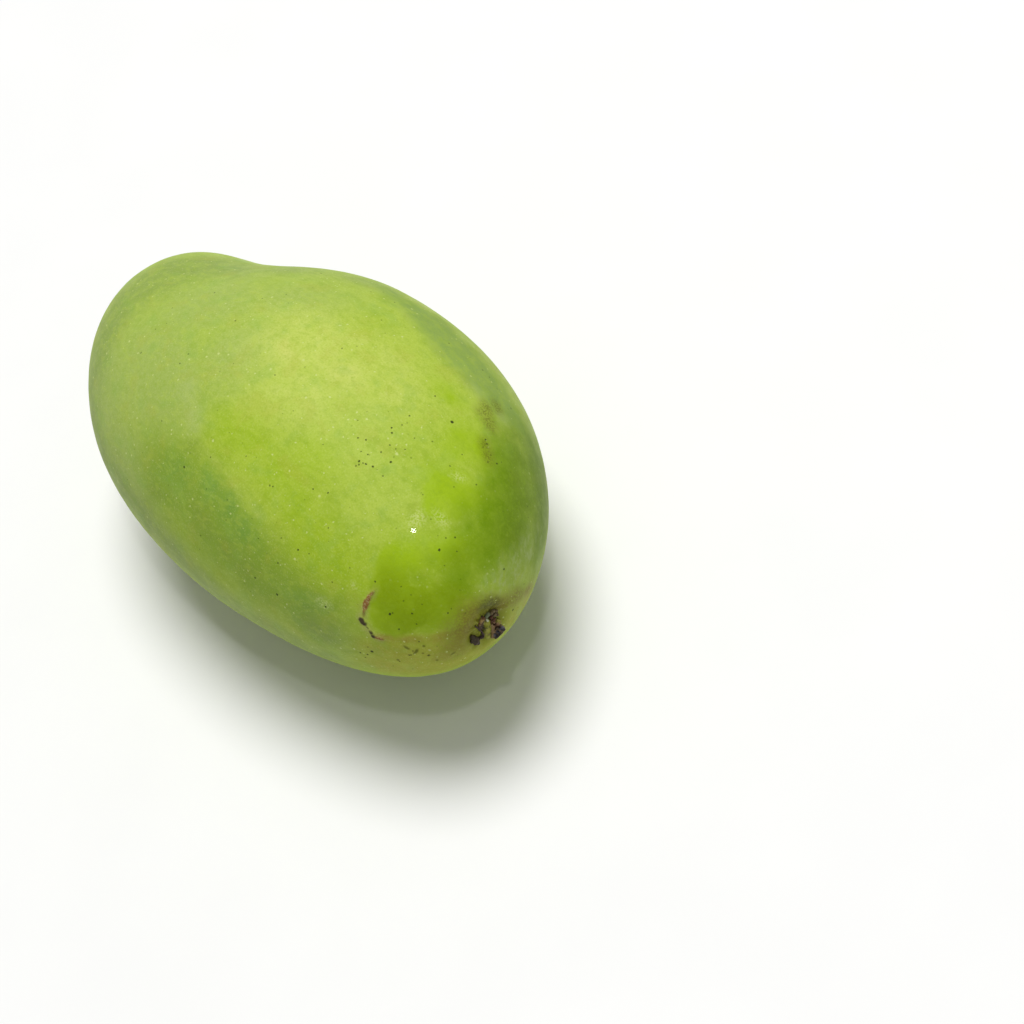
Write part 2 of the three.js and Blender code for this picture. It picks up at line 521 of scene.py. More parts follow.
# The corky scar, as a row of arcs and blobs
SCAR_HALO = [
    seen((376, 588, 0.5), (366.5, 602, 1.1), (363, 613, 0.8), (361.5, 621, 1.2)),
    seen((361.5, 621, 1.2), (372, 635, 0.8), (384, 640, 0.6)),
]
SCAR_CORK = [
    seen((373.6, 591, 0.30), (370, 596, 0.40), (367, 600.5, 0.64), (366, 604.5, 0.74)),
    seen((366, 604.5, 0.74), (365, 608.5, 0.45), (364.3, 612, 0.28)),
    seen((375, 636.2, 0.44), (379, 638, 0.38), (383, 639.2, 0.28)),
]
SCAR_NECK = [seen((364.5, 610, 0.34), (363.4, 617, 0.36))]
SCAR_DARK = [
    seen((361.4, 619.4, 0.62), (363.2, 621.6, 0.72), (364.6, 623.6, 0.40)),
    seen((365, 624.3, 0.16), (370, 629.5, 0.18)),
    seen((370.6, 631, 0.30), (372.6, 634, 0.54), (373.8, 636.6, 0.42)),
]

# Dark specks, by pixel and radius in millimetres
SPECK_SCALE = 0.85
SPECKS = [
    (452, 422, 0.42), (392, 433, 0.27), (391.6, 428, 0.24), (409.6, 416, 0.22),
    (407, 423, 0.15), (402, 425, 0.18), (435, 396, 0.22), (391, 462, 0.30),
    (372.6, 466.6, 0.28), (366, 464, 0.26), (363, 463, 0.18), (359, 461, 0.26),
    (359, 464.5, 0.22), (356, 466, 0.2), (368, 454.5, 0.2), (361, 451.6, 0.17),
    (358, 438, 0.24), (366, 440, 0.24), (390, 445, 0.22), (381, 452, 0.22),
    (396, 449, 0.15), (405, 449.5, 0.18), (377, 469.5, 0.15), (383, 476, 0.18),
    (356, 420, 0.15), (367, 412, 0.16), (411, 458, 0.15), (394, 457, 0.12),
    (450, 466, 0.16), (328, 493, 0.22), (446, 538, 0.2), (455, 537.5, 0.2),
    (438, 535.5, 0.13), (439.5, 550, 0.33), (457, 551.5, 0.17), (423, 494.5, 0.16),
    (421.5, 492.5, 0.12), (426, 497, 0.1), (454, 487, 0.16), (431, 519, 0.15),
    (390, 614, 0.35), (392.5, 613, 0.2), (399, 629, 0.25), (375, 581.5, 0.25),
    (412, 613.5, 0.2), (416.5, 624, 0.16), (403.5, 601, 0.16), (422, 604.5, 0.12),
    (448, 613, 0.22), (401, 586.5, 0.15), (417, 650, 0.12), (419, 641.5, 0.2),
    (399.5, 661.5, 0.24), (409, 655, 0.25), (413, 651, 0.2), (360.5, 652.6, 0.25),
    (367.5, 654.5, 0.28), (365.5, 657.5, 0.2), (368, 647, 0.2), (372, 651.5, 0.42),
    (483, 447, 0.15), (485.5, 439.5, 0.26), (487, 444, 0.24), (491, 455, 0.18),
    (488, 462, 0.16), (497, 463.5, 0.26), (511, 408.5, 0.2), (508, 409, 0.12),
    (483, 370, 0.22), (489.5, 377, 0.18), (470, 357, 0.14), (501.5, 462, 0.12),
    (184, 467, 0.3), (210.5, 457, 0.2), (246, 456, 0.18), (162, 421, 0.2),
    (298, 550, 0.3), (278, 563, 0.22), (255, 578, 0.25), (277, 594.6, 0.32),
    (325.5, 607, 0.28), (332, 582, 0.18), (313, 489, 0.2), (275, 375, 0.17),
    (273, 486.5, 0.2), (281, 538, 0.16), (350, 507.5, 0.14), (504, 569, 0.25),
    (524, 584, 0.2), (513, 610, 0.3), (497, 618, 0.1), (460, 590, 0.12),
]

# Marks on the sides that the camera doesn't see, of the same kinds
HIDDEN_RUBS = [
    unseen((70, 330, 5), (95, 320, 7), (110, 335, 4)),
    unseen((60, 250, 5), (85, 262, 6), (96, 245, 5)),
    unseen((130, 215, 4), (118, 232, 6)),
    unseen((48, 5, 4), (66, 350, 4)),
    unseen((35, 300, 3), (42, 275, 4)),
]
HIDDEN_BLOOM = [
    unseen((30, 330, 4), (52, 305, 5), (60, 288, 4)),
    unseen((120, 355, 5), (140, 320, 6)),
    unseen((110, 290, 4), (140, 262, 6), (150, 220, 5)),
    unseen((75, 215, 4), (100, 205, 4)),
]
HIDDEN_CORK = [
    unseen((74, 276, 0.3), (76, 279, 0.6), (79, 280, 0.35)),
    unseen((112, 331, 0.25), (114, 333.5, 0.5), (115, 336, 0.3)),
]
HIDDEN_HALO = [
    unseen((73, 275, 0.9), (80, 281, 1.2)),
    unseen((111, 330, 0.8), (116, 337, 1.0)),
]


# ------------------------------------------------------------------ the fruit's skin

SKIN_RINGS = 290
SKIN_SEGMENTS = 320
SCAR_PIXEL = (368, 613)
SCAR_REACH = 9.0         # no raised cork further than this from the scar's middle

UNDULATION = 0.14        # millimetres, as all the reliefs below
UNDULATION_SIZE = 17.0
DIMPLE = 0.035
DIMPLE_SIZE = 3.6
FOLD_HEIGHT = 0.22       # folds in the skin that run into the hollow round the stem
FOLD_START = 1.0         # the folds rise from here to the next, and fade out at the last
FOLD_INNER = 2.2
FOLD_OUTER = 9.0
FOLDS = 11
FOLD_UNEVENNESS = 1.7    # how fast the folds change round the stem
FOLD_UNEVEN_REACH = 5.0
FOLD_SHIFT = 3
SCAR_HEIGHT = 0.2
CORK_EDGE = (-0.25, 0.3)
CORK_ROUGHNESS = 0.6     # how much the cork's height varies, as a share of it
CORK_GRAIN = 0.6
BASE_FADE = 5.0          # no relief on the flat spot, and less than the full relief near it


CROWDED_SAMPLES = 4001


def crowded(count, start, stop, crowds):
    """Values from start to stop, closer together near the middle of each crowd, which is
    a row of (middle, reach, how many times closer)."""
    even = np.linspace(start, stop, CROWDED_SAMPLES)
    density = np.ones_like(even)
    for middle, reach, gain in crowds:
        density += (gain - 1) * np.exp(-(((even - middle) / reach) ** 2))
    passed = np.concatenate([[0.0], np.cumsum((density[1:] + density[:-1]) / 2)])
    return np.interp(np.linspace(0, passed[-1], count), passed, even)


def depth_in_strokes(place, strokes):
    """How deep a place in mm lies in the strokes, which is less than 0 outside them."""
    deepest = -math.inf
    for stroke in strokes:
        for (start, start_radius), (end, end_radius) in zip(stroke, stroke[1:]):
            start, end = Vector(start), Vector(end)
            axis = end - start
            share = min(max((place - start).dot(axis) / axis.length_squared, 0.0), 1.0)
            radius = start_radius + (end_radius - start_radius) * share
            deepest = max(deepest, radius - (place - start - axis * share).length)
    return deepest


def relief(place):
    """How far the skin stands out at a place, both in millimetres."""
    height = UNDULATION * noise.noise(place / UNDULATION_SIZE)
    height += DIMPLE * noise.noise(place / DIMPLE_SIZE)

    foot = Vector(in_mm(stem_foot))
    across = math.hypot(place.y - foot.y, place.z - foot.z)
    if place.x > 0 and across < FOLD_OUTER:
        angle = math.atan2(place.z - foot.z, place.y - foot.y)
        around = Vector((math.cos(angle), math.sin(angle), across / FOLD_UNEVEN_REACH))
        uneven = noise.noise(around * FOLD_UNEVENNESS)
        fold = math.cos(FOLDS * angle + FOLD_SHIFT * uneven) / 2 + uneven
        window = smoothstep(across, FOLD_START, FOLD_INNER) * (
            1 - smoothstep(across, FOLD_INNER, FOLD_OUTER)
        )
        height += FOLD_HEIGHT * float(window) * fold

    if (place - scar_middle).length < SCAR_REACH:
        depth = depth_in_strokes(place, SCAR_CORK + SCAR_DARK)
        crumbs = 1 + CORK_ROUGHNESS * noise.noise(place / CORK_GRAIN)
        cork = float(smoothstep(depth, *CORK_EDGE)) * crumbs
        height += SCAR_HEIGHT * cork
    return height * float(smoothstep(place.z, 0.0, BASE_FADE))


scar_place = skin_at(*SCAR_PIXEL)[0]
scar_middle = Vector(in_mm(scar_place))
from_middle = scar_place - fruit_middle
scar_along = math.acos(from_middle.x / (LENGTH / 2))
scar_around = math.atan2(from_middle.z / THICKNESS, from_middle.y / WIDTH)

# The mesh is finer at the stem end, the scar and the apex
CROWDS_ALONG = [(0, 0.22, 4.0), (scar_along, 0.1, 3.0), (math.pi, 0.3, 1.6)]
CROWDS_AROUND = [(scar_around, 0.22, 2.6)]
skin_along = crowded(SKIN_RINGS + 2, 0, math.pi, CROWDS_ALONG)[1:-1]
skin_around = crowded(
    SKIN_SEGMENTS + 1, scar_around - math.pi, scar_around + math.pi, CROWDS_AROUND
)[:-1]


def make_object(name, mesh, material):
    mesh.name = name
    mesh.materials.clear()
    mesh.materials.append(material)
    for polygon in mesh.polygons:
        polygon.use_smooth = True
    piece = bpy.data.objects.new(name, mesh)
    bpy.context.scene.collection.objects.link(piece)
    return piece


def skin_mesh():
    points, faces, _ = skin_grid(skin_along, skin_around)
    mesh = bpy.data.meshes.new("mango_skin")
    mesh.from_pydata([tuple(p) for p in points], [], faces)
    mesh.update()
    normals = [vertex.normal.copy() for vertex in mesh.vertices]
    for vertex, normal in zip(mesh.vertices, normals):
        height = relief(vertex.co / MM)
        vertex.co += normal * (height * MM)
        vertex.co.z = max(vertex.co.z, 0.0)
    mesh.update()
    return mesh


# Colours, linear
FLESH_LIGHT = (0.390, 0.510, 0.060)
FLESH_MID = (0.345, 0.470, 0.038)
FLESH_DEEP = (0.245, 0.375, 0.018)
GREENER = (0.230, 0.400, 0.065)
YELLOWER = (0.370, 0.400, 0.045)
BASE_TINT = (0.345, 0.340, 0.034)
OCHRE = (0.300, 0.250, 0.030)
# The pale tints, where they lie on the upper cheek, are partly painted highlight
PALE = (0.520, 0.595, 0.130)
PALE_YELLOW = (0.570, 0.590, 0.150)
APEX_TINT = (0.330, 0.428, 0.105)
# The rim's tint: partly sage green, partly painted shade along the outline
RIM_TINT_AND_SHADE = (0.240, 0.325, 0.078)
VIVID = (0.300, 0.465, 0.0)
VIVID_DEEP = (0.145, 0.265, 0.0)
PATCH = (0.195, 0.295, 0.002)
# The lower flank's darker green: partly its own colour, partly painted shade
FLANK_GREEN_AND_SHADE = (0.200, 0.315, 0.032)
TEAL = (0.155, 0.305, 0.050)
DULL_OLIVE = (0.205, 0.300, 0.035)
BLOOM = (0.210, 0.320, 0.070)
BLOOM_PALE = (0.370, 0.460, 0.170)
WHITISH = (0.420, 0.500, 0.200)
# The right flank's deep green: partly its own colour, partly painted shade
RIM_GREEN_AND_SHADE = (0.130, 0.218, 0.004)
OLIVE = (0.265, 0.290, 0.030)
BROWN = (0.190, 0.160, 0.020)
UMBER = (0.120, 0.130, 0.006)
RUST = (0.150, 0.100, 0.008)
# A dark olive for the painted shade in the hollow above the stalk
HOLLOW_SHADE = (0.060, 0.075, 0.014)
LENTICEL = (0.560, 0.640, 0.220)
SPECK = (0.022, 0.028, 0.008)
CORK_PALE = (0.400, 0.330, 0.160)
CORK = (0.230, 0.095, 0.030)
CORK_DARK = (0.050, 0.032, 0.022)


# Sizes of the skin's patterns, in millimetres
CLOUD_SIZE = 16.0
GATHERING_SIZE = 13.0
HUE_SIZE = 5.5
BLOTCH_SIZE = 4.0
LUMP_SIZE = 2.6
WIPE_SIZE = 2.4
STREAK_SIZE = 1.4
MOTTLE_SIZE = 1.3
FRECKLE_SIZE = 0.75
PORE_SIZE = 0.7
GRAIN_SIZE = 0.38
BRUSH_SIZE = 0.09        # as an angle round the stem's foot, in radians

# Strengths of the fine patterns, as shares of their tint
DEEPER_STRENGTH = 0.40
LIGHTER_STRENGTH = 0.30
DARKER_STRENGTH = 0.24
HUE_STRENGTH = 0.24
FRECKLE_STRENGTH = 0.20
SNOW_STRENGTH = 0.20
GRAIN_STRENGTH = 0.30
RUBBED_CLEAN = 0.85      # how much of them a rub takes away

# Distances from the stem's foot, in millimetres
OLIVE_RING = (4.0, 8.5)
CHAFF_RING = (2.5, 5.5)

# Dots: the space between them in millimetres, and the largest radius and the blur as shares
# of it. The scattered specks have a shift as well.
CHAFF_DOTS = (0.8, 0.40, 0.12)
LENTICEL_DOTS = ((1.1, 0.21, 0.06), (1.9, 0.16, 0.04), (4.1, 0.085, 0.02))
SPECK_DOTS = ((2.7, 0.085, 0.04, 4.6), (1.5, 0.10, 0.05, 1.9))
SPECK_EDGE = (-0.10, 0.12)

# Gloss
SMOOTHEST = 0.36
ROUGHER_IN_BLOTCHES = 0.25
ROUGHER_IN_BLOOM = 0.14
ROUGHER_IN_RUBS = -0.06
ROUGHER_WHEN_DRY = 0.25
WET_SHARE = 0.1          # the share of the roughness that a wet spot keeps
SKIN_SPECULAR = 0.09

# Heights of the relief that is finer than the mesh, in millimetres
PORE_HEIGHT = 0.05
LUMP_HEIGHT = 0.06
LENTICEL_HEIGHT = -0.02


def skin_material():
    s = Shader("mango_skin")
    rough_edge = s.wobble(5.0, 1.6)
    fine_edge = s.wobble(0.9, 0.22)
    ragged = s.wobble(1.6, 0.5)
    ragged_clean = s.wobble(2.2, 1.1)
    speck_edge = s.wobble(0.38, 0.20)

    # The flesh's own green, in broad clouds and in fine streaks along the fruit
    clouds = s.noise(CLOUD_SIZE, detail=4, stretch=(1.5, 1, 1), shift=3.1)["Fac"]
    blotches = s.noise(BLOTCH_SIZE, detail=5, shift=7.7)["Fac"]
    streaks = s.noise(STREAK_SIZE, detail=3, stretch=(4, 1, 1), shift=1.3)["Fac"]
    grain = s.noise(GRAIN_SIZE, detail=3, shift=5.2)["Fac"]
    mottle = s.noise(MOTTLE_SIZE, detail=3, stretch=(1.6, 1, 1), shift=2.6)["Fac"]
    colour = s.mix(s.ramp(clouds, 0.35, 0.65), FLESH_MID, FLESH_LIGHT)
    deeper = s.math("ADD", s.math("MULTIPLY", blotches, 0.7), s.math("MULTIPLY", streaks, 0.3))
    colour = s.mix(s.ramp(deeper, 0.48, 0.62, 0.0, DEEPER_STRENGTH), colour, FLESH_DEEP)

    # Parts of the skin with a tint of their own, some of them partly painted light: the pale
    # cheek holds painted highlight, the lower flank and the rim hold painted shade. Each row:
    # the tint, its strokes, where they are drawn, the softness of their edge in millimetres,
    # the strength, and what breaks the tint up
    patchy = s.ramp(blotches, 0.38, 0.60, 0.55, 1.0)
    vivid_patchy = s.ramp(blotches, 0.30, 0.55, 0.65, 1.0)
    for tint, strokes, edge, softness, strength, breakup in (
        (APEX_TINT, APEX_SAGE, rough_edge, 16, 0.85, None),
        (PALE, PALE_CHEEK_AND_HIGHLIGHT, rough_edge, 15, 0.80, patchy),
        (PALE_YELLOW, PALE_HEART_AND_HIGHLIGHT, rough_edge, 5, 0.6, patchy),
        (VIVID, FAINT_RUBS, rough_edge, 8, 0.45, vivid_patchy),
        (FLANK_GREEN_AND_SHADE, DARK_FLANK_AND_SHADE, rough_edge, 9, 0.80, None),
        (TEAL, TEAL_SKIN, rough_edge, 7, 0.75, patchy),
        (DULL_OLIVE, SHADED_OLIVE, rough_edge, 4, 0.75, patchy),
        (PALE, PALE_LINE, ragged, 2.6, 0.45, patchy),
        (RIM_TINT_AND_SHADE, RIM_SAGE_AND_SHADE, rough_edge, 11, 0.9, vivid_patchy),
        (BASE_TINT, DULL_BASE, rough_edge, 6, 0.85, None),
        (BROWN, DULL_BASE_DARK, rough_edge, 5, 0.70, None),
    ):
        colour = s.paint(colour, tint, s.stroke(edge, strokes, softness), strength, breakup)

    # Rubs, where the bloom is gone, and the deep green right flank, which is partly painted
    # shade
    soft_rub = s.stroke(rough_edge, SOFT_RUBS + HIDDEN_RUBS, 6)
    clean_rub = s.stroke(ragged_clean, CLEAN_RUBS, 1.4)
    deep_rub = s.stroke(rough_edge, DEEP_RUBS, 7)
    rim_deep_and_shade = s.stroke(rough_edge, RIM_DEEP_AND_SHADE, 13)
    rub = s.highest([soft_rub, clean_rub])
    patch = s.math("MULTIPLY", s.stroke(rough_edge, PATCH_RUB, 8), rub)
    deep_patchy = s.ramp(blotches, 0.35, 0.6, 0.82, 1.0)
    rim_patchy = s.ramp(blotches, 0.32, 0.58, 0.84, 1.0)
    colour = s.paint(colour, VIVID, rub, 0.8, vivid_patchy)
    colour = s.paint(colour, VIVID_DEEP, deep_rub, 0.97, deep_patchy)
    colour = s.paint(colour, PATCH, patch, 0.9, vivid_patchy)
    colour = s.paint(colour, RIM_GREEN_AND_SHADE, rim_deep_and_shade, 0.96, rim_patchy)
    colour = s.paint(colour, OCHRE, s.stroke(ragged, BASE_LINE, 1.6), 0.9)

    # Fine patterns: the lighter ones are in the bloom, so a rub takes them away
    rubbed = s.math("MULTIPLY", s.highest([rub, deep_rub, rim_deep_and_shade]), RUBBED_CLEAN)
    unrubbed = s.math("SUBTRACT", 1.0, rubbed)
    lighter = s.ramp(mottle, 0.48, 0.66, 0.0, LIGHTER_STRENGTH)
    colour = s.mix(s.math("MULTIPLY", lighter, unrubbed), colour, FLESH_LIGHT)
    colour = s.mix(s.ramp(mottle, 0.52, 0.34, 0.0, DARKER_STRENGTH), colour, FLESH_DEEP)
    hues = s.noise(HUE_SIZE, detail=4, shift=12.4)["Fac"]
    greener = s.ramp(hues, 0.54, 0.68, 0.0, HUE_STRENGTH)
    colour = s.mix(s.math("MULTIPLY", greener, unrubbed), colour, GREENER)
    yellower = s.ramp(hues, 0.46, 0.32, 0.0, HUE_STRENGTH)
    colour = s.mix(s.math("MULTIPLY", yellower, unrubbed), colour, YELLOWER)
    freckles = s.noise(FRECKLE_SIZE, detail=2, shift=6.1)["Fac"]
    colour = s.mix(s.ramp(freckles, 0.56, 0.70, 0.0, FRECKLE_STRENGTH), colour, FLESH_DEEP)
    snow = s.ramp(grain, 0.52, 0.72, 0.0, SNOW_STRENGTH)
    colour = s.mix(s.math("MULTIPLY", snow, unrubbed), colour, LENTICEL)
    colour = s.mix(s.ramp(grain, 0.48, 0.30, 0.0, GRAIN_STRENGTH), colour, FLESH_DEEP)

    # Waxy bloom: a pale film, thin where it was wiped, brushed outwards from the stem
    wipes = s.noise(WIPE_SIZE, detail=4, stretch=(1.6, 1, 1), shift=9.0)["Fac"]
    wiped = s.ramp(wipes, 0.35, 0.60, 0.65, 1.0)
    fine_film = s.ramp(grain, 0.35, 0.60, 0.7, 1.0)
    film = s.stroke(rough_edge, BLOOM_RIM, 6)
    colour = s.paint(colour, BLOOM, s.math("MULTIPLY", film, wiped), 0.85, fine_film)
    hidden_film = s.math("MULTIPLY", s.stroke(rough_edge, HIDDEN_BLOOM, 16), wiped)
    colour = s.paint(colour, APEX_TINT, hidden_film, 0.75, fine_film)
    spots = s.math("MULTIPLY", s.stroke(rough_edge, BLOOM_SPOTS, 4), wiped)
    colour = s.paint(colour, WHITISH, spots, 0.35, fine_film)
    foot = in_mm(stem_foot)
    outwards = s.vector("NORMALIZE", s.vector("SUBTRACT", ragged, foot))
    brushed = s.ramp(s.noise(BRUSH_SIZE, detail=5, at=outwards)["Fac"], 0.38, 0.64, 0.30, 1.0)
    at_stem = s.stroke(rough_edge, BLOOM_AT_STEM, 5)
    mottled = s.ramp(mottle, 0.38, 0.58, 0.45, 1.0)
    colour = s.paint(colour, BLOOM_PALE, s.math("MULTIPLY", at_stem, brushed), 0.72, mottled)
    # Pale scuffs, two of them partly painted sheen beside the glint
    scuffs_and_sheen = s.stroke(ragged, PALE_SCUFFS_AND_SHEEN, 2.2)
    colour = s.paint(colour, LENTICEL, scuffs_and_sheen, 0.6, s.ramp(grain, 0.42, 0.58))

    # The stalk's surroundings, brown marks, and painted shade in the hollow round the stalk.
    # Rows as for the tints above.
    from_stem = s.vector("DISTANCE", ragged, foot)
    dusty = s.ramp(grain, 0.32, 0.62, 0.45, 1.0)
    ring = s.ramp(from_stem, *OLIVE_RING, 1.0, 0.0)
    colour = s.mix(s.math("MULTIPLY", ring, 0.8), colour, OLIVE)
    for tint, strokes, edge, softness, strength, breakup in (
        (BROWN, STEM_SMEAR, rough_edge, 3.0, 0.85, dusty),
        (BROWN, STEM_SHADE, rough_edge, 5.0, 0.85, dusty),
        (BROWN, STEM_STAIN_AND_SHADE, ragged, 3.5, 0.7, dusty),
        (HOLLOW_SHADE, STEM_RING, ragged, 3.0, 0.75, dusty),
        (SPECK, STEM_PIT_SHADE, fine_edge, 0.8, 0.8, None),
    ):
        colour = s.paint(colour, tint, s.stroke(edge, strokes, softness), strength, breakup)
    near_stem = s.ramp(from_stem, *CHAFF_RING, 0.90, 0.0)
    chaff = s.dots(*CHAFF_DOTS, near_stem, at=speck_edge, shift=3.0)
    colour = s.paint(colour, RUST, chaff, 0.8)
    flecked = s.ramp(grain, 0.38, 0.66, 0.35, 1.0)
    colour = s.paint(colour, UMBER, s.stroke(ragged, BROWN_BLOTCH, 3.0), 0.85, flecked)
    colour = s.paint(colour, UMBER, s.stroke(fine_edge, BASE_FLECKS, 0.4), 0.85)

    # Pale lenticels of three sizes, gathered in some parts and sparse in others
    gatherings = s.noise(GATHERING_SIZE, detail=2, shift=8.8)["Fac"]
    gathered = s.ramp(gatherings, 0.36, 0.60, 0.15, 1.0)
    lenticels = s.highest(
        s.dots(size, share, blur, gathered, at=speck_edge, shift=size)
        for size, share, blur in LENTICEL_DOTS
    )
    lenticels = s.math("MULTIPLY", lenticels, unrubbed)
    colour = s.mix(s.math("MULTIPLY", lenticels, 0.7), colour, LENTICEL)

    # Dark specks: the ones in the list, and a scatter of small ones all round
    depths = (
        s.math("SUBTRACT", radius * SPECK_SCALE,
               s.vector("DISTANCE", speck_edge, in_mm(skin_at(x, y)[0])))
        for x, y, radius in SPECKS
    )
    listed = s.ramp(s.highest(depths), *SPECK_EDGE)
    scattered = s.highest(
        s.dots(size, share, blur, gathered, at=speck_edge, shift=shift)
        for size, share, blur, shift in SPECK_DOTS
    )
    specks = s.highest([listed, s.math("MULTIPLY", scattered, 0.75)])
    colour = s.mix(s.math("MULTIPLY", specks, 0.92), colour, SPECK)

    # The corky scar, in a pale halo
    halo = s.stroke(ragged, SCAR_HALO + HIDDEN_HALO, 1.6)
    colour = s.paint(colour, CORK_PALE, halo, 0.4, s.ramp(grain, 0.35, 0.6, 0.5, 1.0))
    colour = s.paint(colour, BROWN, s.stroke(fine_edge, SCAR_NECK, 0.5), 0.7)
    cork = s.stroke(fine_edge, SCAR_CORK + HIDDEN_CORK, 0.35)
    crumbs = s.ramp(grain, 0.46, 0.70, 0.0, 0.7)
    colour = s.mix(s.math("MULTIPLY", cork, 0.95), colour, s.mix(crumbs, CORK, CORK_PALE))
    dark_cork = s.stroke(fine_edge, SCAR_DARK, 0.3)
    colour = s.mix(s.math("MULTIPLY", dark_cork, 0.95), colour, CORK_DARK)
    s.put(colour, s.surface.inputs["Base Color"])

    # Gloss
    dry = s.highest([cork, dark_cork, specks])
    wet = s.stroke(speck_edge, WET_SPOTS, 0.25)
    roughness = s.math("MULTIPLY_ADD", blotches, ROUGHER_IN_BLOTCHES, SMOOTHEST)
    for mask, rougher in (
        (s.highest([film, at_stem]), ROUGHER_IN_BLOOM),
        (rub, ROUGHER_IN_RUBS),
        (dry, ROUGHER_WHEN_DRY),
    ):
        roughness = s.math("MULTIPLY_ADD", mask, rougher, roughness)
    roughness = s.math("MULTIPLY", roughness, s.ramp(wet, 0.0, 1.0, 1.0, WET_SHARE))
    s.put(roughness, s.surface.inputs["Roughness"])
    s.surface.inputs["Specular IOR Level"].default_value = SKIN_SPECULAR

    # Relief finer than the mesh, with none in the wet spots
    pores = s.noise(PORE_SIZE, detail=3, shift=2.0)["Fac"]
    lumps = s.noise(LUMP_SIZE, detail=2, shift=6.0)["Fac"]
    height = s.math("MULTIPLY", pores, PORE_HEIGHT)
    height = s.math("MULTIPLY_ADD", lumps, LUMP_HEIGHT, height)
    height = s.math("MULTIPLY_ADD", lenticels, LENTICEL_HEIGHT, height)
    height = s.math("MULTIPLY", height, s.math("SUBTRACT", 1.0, wet))
    s.put(s.bump(height), s.surface.inputs["Normal"])
    return s.material


skin = make_object("mango_skin", skin_mesh(), skin_material())
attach(skin, "root")
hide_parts("fruit")


# ------------------------------------------------------------------ the stalk's stump

VOXEL = 0.085               # in millimetres, as all the sizes below
BARK_LUMPS = (0.8, 0.13)    # size and height of the noise on the bark
BARK_GRAIN = (0.26, 0.07)
UNEVENNESS = 0.25           # how far the corners of a lump are moved, as a share of it
TAPER = 0.9                 # the upper radius of a lump's root, as a share of its lower one
COLLAR_RADIUS = 1.6
COLLAR_THICKNESS = 0.4
BARK_SPREAD = 0.16          # how far a plate's tint reaches past it
BARK_EDGE = 0.3
PITH_SPREAD = 0.10
PITH_EDGE = 0.25
BARK_BUMP = 0.12
BARK_SPECULAR = 0.3

# The bark stands in torn plates and crumbs round a green pocket of pith. Each row of steps
# is one plate, and each step is its pixel, its half width and its lift over the skin in mm.
PITH = [[(486.5, 621, 0.62, 0.3), (486.8, 626, 0.80, 0.4), (487.0, 631.5, 0.80, 0.5),
         (487.5, 636, 0.60, 0.5)]]
BARK = {
    "left lump": [[(473.0, 638.5, 0.55, 0.5), (475.0, 640.0, 0.85, 0.6),
                   (477.0, 642.0, 0.55, 0.5)],
                  [(472.2, 637.0, 0.40, 0.3)], [(472.2, 641.4, 0.44, 0.3)],
                  [(475.2, 643.2, 0.42, 0.3)], [(478.4, 643.0, 0.36, 0.3)],
                  [(479.2, 639.0, 0.30, 0.5)]],
    "left arm": [[(475.3, 626.0, 0.18, 0.12), (478.5, 628.5, 0.20, 0.16),
                  (481.5, 631.5, 0.22, 0.22), (483.4, 635.0, 0.24, 0.30)],
                 [(482.0, 637.4, 0.42, 0.4)]],
    "left flap": [[(480.0, 624.0, 0.30, 0.3), (481.2, 621.5, 0.38, 0.4),
                   (483.5, 618.6, 0.36, 0.6)]],
    "red grains": [[(480.6, 623.2, 0.22, 0.4)], [(483.6, 617.8, 0.26, 0.6)],
                   [(491.4, 617.6, 0.40, 0.6)], [(493.7, 619.6, 0.42, 0.7)],
                   [(491.8, 621.2, 0.30, 0.8)], [(495.6, 624.6, 0.40, 0.8)],
                   [(498.3, 625.8, 0.32, 0.9)]],
    "grey bit": [[(486.6, 617.0, 0.34, 0.5), (488.4, 614.6, 0.42, 0.5)]],
    "white bit": [[(487.6, 620.7, 0.22, 1.0)]],
    "brown grains": [[(493.4, 611.2, 0.42, 0.4)], [(496.6, 611.0, 0.34, 0.4)],
                     [(497.6, 614.4, 0.36, 0.5)], [(494.4, 614.8, 0.42, 0.5)],
                     [(491.4, 613.6, 0.30, 0.5)]],
    "yellow lump": [[(496.8, 620.4, 0.42, 0.7), (499.8, 622.2, 0.42, 0.7)]],
    "pink grains": [[(493.6, 627.0, 0.30, 1.0)], [(497.4, 623.8, 0.26, 1.0)],
                    [(494.0, 622.4, 0.24, 1.0)], [(500.4, 625.4, 0.26, 1.0)]],
    "right ridge": [[(491.8, 624.6, 0.26, 0.8), (492.8, 628.8, 0.40, 0.9),
                     (493.2, 633.0, 0.42, 1.0), (492.6, 637.0, 0.32, 0.9)]],
    "right slab": [[(503.2, 627.8, 0.36, 1.2), (500.5, 630.4, 0.46, 1.4),
                    (498.0, 632.8, 0.46, 1.5), (495.4, 636.0, 0.40, 1.3)]],
    # The slab's lower edge: dark bark, darkened further with painted shade on that side
    "slab edge shade": [[(504.6, 629.4, 0.20, 1.2), (501.8, 632.4, 0.24, 1.5),
                   (498.8, 635.2, 0.24, 1.6), (495.8, 638.2, 0.22, 1.3)]],
}

